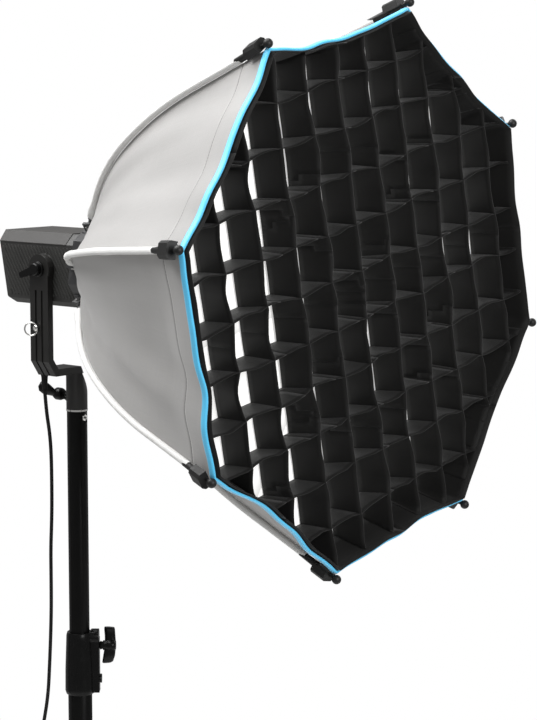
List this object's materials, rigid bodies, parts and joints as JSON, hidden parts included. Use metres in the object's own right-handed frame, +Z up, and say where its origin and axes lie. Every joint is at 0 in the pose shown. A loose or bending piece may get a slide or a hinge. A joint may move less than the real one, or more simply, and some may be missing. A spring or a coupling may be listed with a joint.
{
  "type": "studio softbox",
  "caption": "Octagonal folding softbox with a cloth grid, on a compact LED lamp head with a one-armed yoke, a telescopic folding light stand and a lead.",
  "frame": {"origin": "on the floor, under the middle of the object's bounding box, with the lead left out", "axes": "+Z is up, the softbox faces -Y, and +X is to the right of someone who looks along +Y into its front"},
  "size_m": [0.8798, 0.9564, 1.456],
  "materials": {
    "black_paint": "black powder coat",
    "black_plastic": "fine moulded texture",
    "lamp_paint": "charcoal coat with fine slanting ribs",
    "black_metal": "satin black",
    "rod_steel": "dark spring steel",
    "bright_metal": "polished",
    "heat_sink": "milled",
    "led": "white board with a yellow light-emitting disc",
    "silver_cloth": "grey woven cloth, silvered inside",
    "white_cloth": "thin white diffusion cloth",
    "black_cloth": "black webbing",
    "blue_piping": "sky blue binding",
    "rubber": "matte",
    "lead_rubber": "smooth satin"
  },
  "bodies": {
    "stand_base": {"base_tube": "black_paint", "lock_collar": "black_plastic", "brace_hub": "black_plastic", "lead_lower": "lead_rubber", "lead_coil": "lead_rubber", "lead_plug": "lead_rubber"},
    "collar_knob_body": {"collar_knob": "black_plastic"},
    "leg_collar_body": {"leg_collar": "black_plastic"},
    "leg_knob_body": {"leg_knob": "black_plastic"},
    "mast": {"top_tube": "black_paint", "spigot": "bright_metal"},
    "yoke": {"yoke_frame": "black_paint", "pivot_bolt": "rod_steel", "safety_ring": "bright_metal", "lead_gland": "lead_rubber", "lead_upper": "lead_rubber"},
    "receiver_knob_body": {"receiver_knob": "black_plastic"},
    "tilt_knob_body": {"tilt_knob": "black_plastic"},
    "lamp": {"lamp_housing": "lamp_paint", "lamp_mount": "bright_metal", "bayonet_insert": "bright_metal", "led_module": "led", "heat_sink": "heat_sink", "rear_panel": "black_plastic"},
    "fan": {"fan_rotor": "black_plastic"},
    "dial": {"control_dial": "black_plastic"},
    "power": {"power_button": "black_plastic"},
    "latch": {"latch_button": "black_plastic"},
    "softbox": {"mount_ring": "black_metal", "rod_brackets": "black_metal", "rod_pins": "bright_metal", "shell": "silver_cloth", "diffuser": "white_cloth", "grid": "black_cloth", "rim_piping": "blue_piping"},
    "leg_1_body": {"leg_1": "black_paint", "foot_1": "rubber"},
    "brace_1_body": {"brace_1": "black_paint"},
    "leg_2_body": {"leg_2": "black_paint", "foot_2": "rubber"},
    "brace_2_body": {"brace_2": "black_paint"},
    "leg_3_body": {"leg_3": "black_paint", "foot_3": "rubber"},
    "brace_3_body": {"brace_3": "black_paint"},
    "rib_1": {"rod_1": "rod_steel", "rod_tip_1": "black_plastic"},
    "rib_2": {"rod_2": "rod_steel", "rod_tip_2": "black_plastic"},
    "rib_3": {"rod_3": "rod_steel", "rod_tip_3": "black_plastic"},
    "rib_4": {"rod_4": "rod_steel", "rod_tip_4": "black_plastic"},
    "rib_5": {"rod_5": "rod_steel", "rod_tip_5": "black_plastic"},
    "rib_6": {"rod_6": "rod_steel", "rod_tip_6": "black_plastic"},
    "rib_7": {"rod_7": "rod_steel", "rod_tip_7": "black_plastic"},
    "rib_8": {"rod_8": "rod_steel", "rod_tip_8": "black_plastic"}
  },
  "joints": [
    {"name": "leg_collar_slide", "type": "slide", "parent": "stand_base", "child": "leg_collar_body", "axis": [0, 0, 1], "range_m": [0, 0.2097]},
    {"name": "leg_1_fold", "type": "hinge", "parent": "leg_collar_body", "child": "leg_1_body", "pos_m": [0, 0.007, 0.35296], "axis": [-1, 0, 0], "range_deg": [0, 49.02]},
    {"name": "brace_1_fold", "type": "hinge", "parent": "stand_base", "child": "brace_1_body", "pos_m": [0, 0.007, 0.034], "axis": [1, 0, 0], "range_deg": [0, 49.02]},
    {"name": "leg_2_fold", "type": "hinge", "parent": "leg_collar_body", "child": "leg_2_body", "pos_m": [-0.02598, -0.038, 0.35296], "axis": [0.5, -0.866, 0], "range_deg": [0, 49.02]},
    {"name": "brace_2_fold", "type": "hinge", "parent": "stand_base", "child": "brace_2_body", "pos_m": [-0.02598, -0.038, 0.034], "axis": [-0.5, 0.866, 0], "range_deg": [0, 49.02]},
    {"name": "leg_3_fold", "type": "hinge", "parent": "leg_collar_body", "child": "leg_3_body", "pos_m": [0.02598, -0.038, 0.35296], "axis": [0.5, 0.866, 0], "range_deg": [0, 49.02]},
    {"name": "brace_3_fold", "type": "hinge", "parent": "stand_base", "child": "brace_3_body", "pos_m": [0.02598, -0.038, 0.034], "axis": [-0.5, -0.866, 0], "range_deg": [0, 49.02]},
    {"name": "leg_knob_turn", "type": "hinge", "parent": "leg_collar_body", "child": "leg_knob_body", "pos_m": [0, -0.023, 0.35296], "axis": [0.866, 0.5, 0], "continuous": true},
    {"name": "collar_knob_turn", "type": "hinge", "parent": "stand_base", "child": "collar_knob_body", "pos_m": [0, -0.023, 0.69], "axis": [0.6494, -0.7604, 0], "continuous": true},
    {"name": "mast_slide", "type": "slide", "parent": "stand_base", "child": "mast", "axis": [0, 0, 1], "range_m": [-0.25, 0.25], "deforming": ["lead_lower"]},
    {"name": "yoke_turn", "type": "hinge", "parent": "mast", "child": "yoke", "pos_m": [0, -0.023, 0.98], "axis": [0, 0, 1], "continuous": true},
    {"name": "receiver_knob_turn", "type": "hinge", "parent": "yoke", "child": "receiver_knob_body", "pos_m": [0, -0.023, 0.995], "axis": [0, 1, 0], "continuous": true},
    {"name": "tilt_knob_turn", "type": "hinge", "parent": "yoke", "child": "tilt_knob_body", "pos_m": [-0.06, -0.023, 1.151], "axis": [-1, 0, 0], "continuous": true},
    {"name": "lamp_tilt", "type": "hinge", "parent": "yoke", "child": "lamp", "pos_m": [0, -0.023, 1.151], "axis": [1, 0, 0], "range_deg": [-75, 30]},
    {"name": "fan_spin", "type": "hinge", "parent": "lamp", "child": "fan", "pos_m": [0, 0.008, 1.15], "axis": [0, 1, 0], "continuous": true},
    {"name": "dial_turn", "type": "hinge", "parent": "lamp", "child": "dial", "pos_m": [0.022, 0.04483, 1.134], "axis": [0, 0.9827, -0.185], "continuous": true},
    {"name": "power_press", "type": "slide", "parent": "lamp", "child": "power", "axis": [0, -0.9827, 0.185], "range_m": [0, 0.0015], "stiffness_N_per_m": 400},
    {"name": "latch_press", "type": "slide", "parent": "lamp", "child": "latch", "axis": [0, 0, -1], "range_m": [0, 0.0025], "stiffness_N_per_m": 400},
    {"name": "softbox_turn", "type": "hinge", "parent": "lamp", "child": "softbox", "pos_m": [0, -0.089, 1.15], "axis": [0, 1, 0], "continuous": true},
    {"name": "rib_1_fold", "type": "hinge", "parent": "softbox", "child": "rib_1", "pos_m": [0.01288, -0.087, 1.21473], "axis": [0.9808, 0, -0.1951], "range_deg": [0, 35], "deforming": ["shell", "diffuser", "grid", "rim_piping"]},
    {"name": "rib_2_fold", "type": "hinge", "parent": "softbox", "child": "rib_2", "pos_m": [0.05488, -0.087, 1.18667], "axis": [0.5556, 0, -0.8315], "range_deg": [0, 35]},
    {"name": "rib_3_fold", "type": "hinge", "parent": "softbox", "child": "rib_3", "pos_m": [0.06473, -0.087, 1.13712], "axis": [-0.1951, 0, -0.9808], "range_deg": [0, 35]},
    {"name": "rib_4_fold", "type": "hinge", "parent": "softbox", "child": "rib_4", "pos_m": [0.03667, -0.087, 1.09512], "axis": [-0.8315, 0, -0.5556], "range_deg": [0, 35]},
    {"name": "rib_5_fold", "type": "hinge", "parent": "softbox", "child": "rib_5", "pos_m": [-0.01288, -0.087, 1.08527], "axis": [-0.9808, 0, 0.1951], "range_deg": [0, 35]},
    {"name": "rib_6_fold", "type": "hinge", "parent": "softbox", "child": "rib_6", "pos_m": [-0.05488, -0.087, 1.11333], "axis": [-0.5556, 0, 0.8315], "range_deg": [0, 35]},
    {"name": "rib_7_fold", "type": "hinge", "parent": "softbox", "child": "rib_7", "pos_m": [-0.06473, -0.087, 1.16288], "axis": [0.1951, 0, 0.9808], "range_deg": [0, 35]},
    {"name": "rib_8_fold", "type": "hinge", "parent": "softbox", "child": "rib_8", "pos_m": [-0.03667, -0.087, 1.20488], "axis": [0.8315, 0, 0.5556], "range_deg": [0, 35]}
  ],
  "couplings": [
    {"joint": "leg_1_fold", "follows": "leg_collar_slide", "rad_per_m": 4.0783},
    {"joint": "brace_1_fold", "follows": "leg_collar_slide", "rad_per_m": 4.0783},
    {"joint": "leg_2_fold", "follows": "leg_collar_slide", "rad_per_m": 4.0783},
    {"joint": "brace_2_fold", "follows": "leg_collar_slide", "rad_per_m": 4.0783},
    {"joint": "leg_3_fold", "follows": "leg_collar_slide", "rad_per_m": 4.0783},
    {"joint": "brace_3_fold", "follows": "leg_collar_slide", "rad_per_m": 4.0783},
    {"joint": "rib_2_fold", "follows": "rib_1_fold", "ratio": 1},
    {"joint": "rib_3_fold", "follows": "rib_1_fold", "ratio": 1},
    {"joint": "rib_4_fold", "follows": "rib_1_fold", "ratio": 1},
    {"joint": "rib_5_fold", "follows": "rib_1_fold", "ratio": 1},
    {"joint": "rib_6_fold", "follows": "rib_1_fold", "ratio": 1},
    {"joint": "rib_7_fold", "follows": "rib_1_fold", "ratio": 1},
    {"joint": "rib_8_fold", "follows": "rib_1_fold", "ratio": 1}
  ]
}
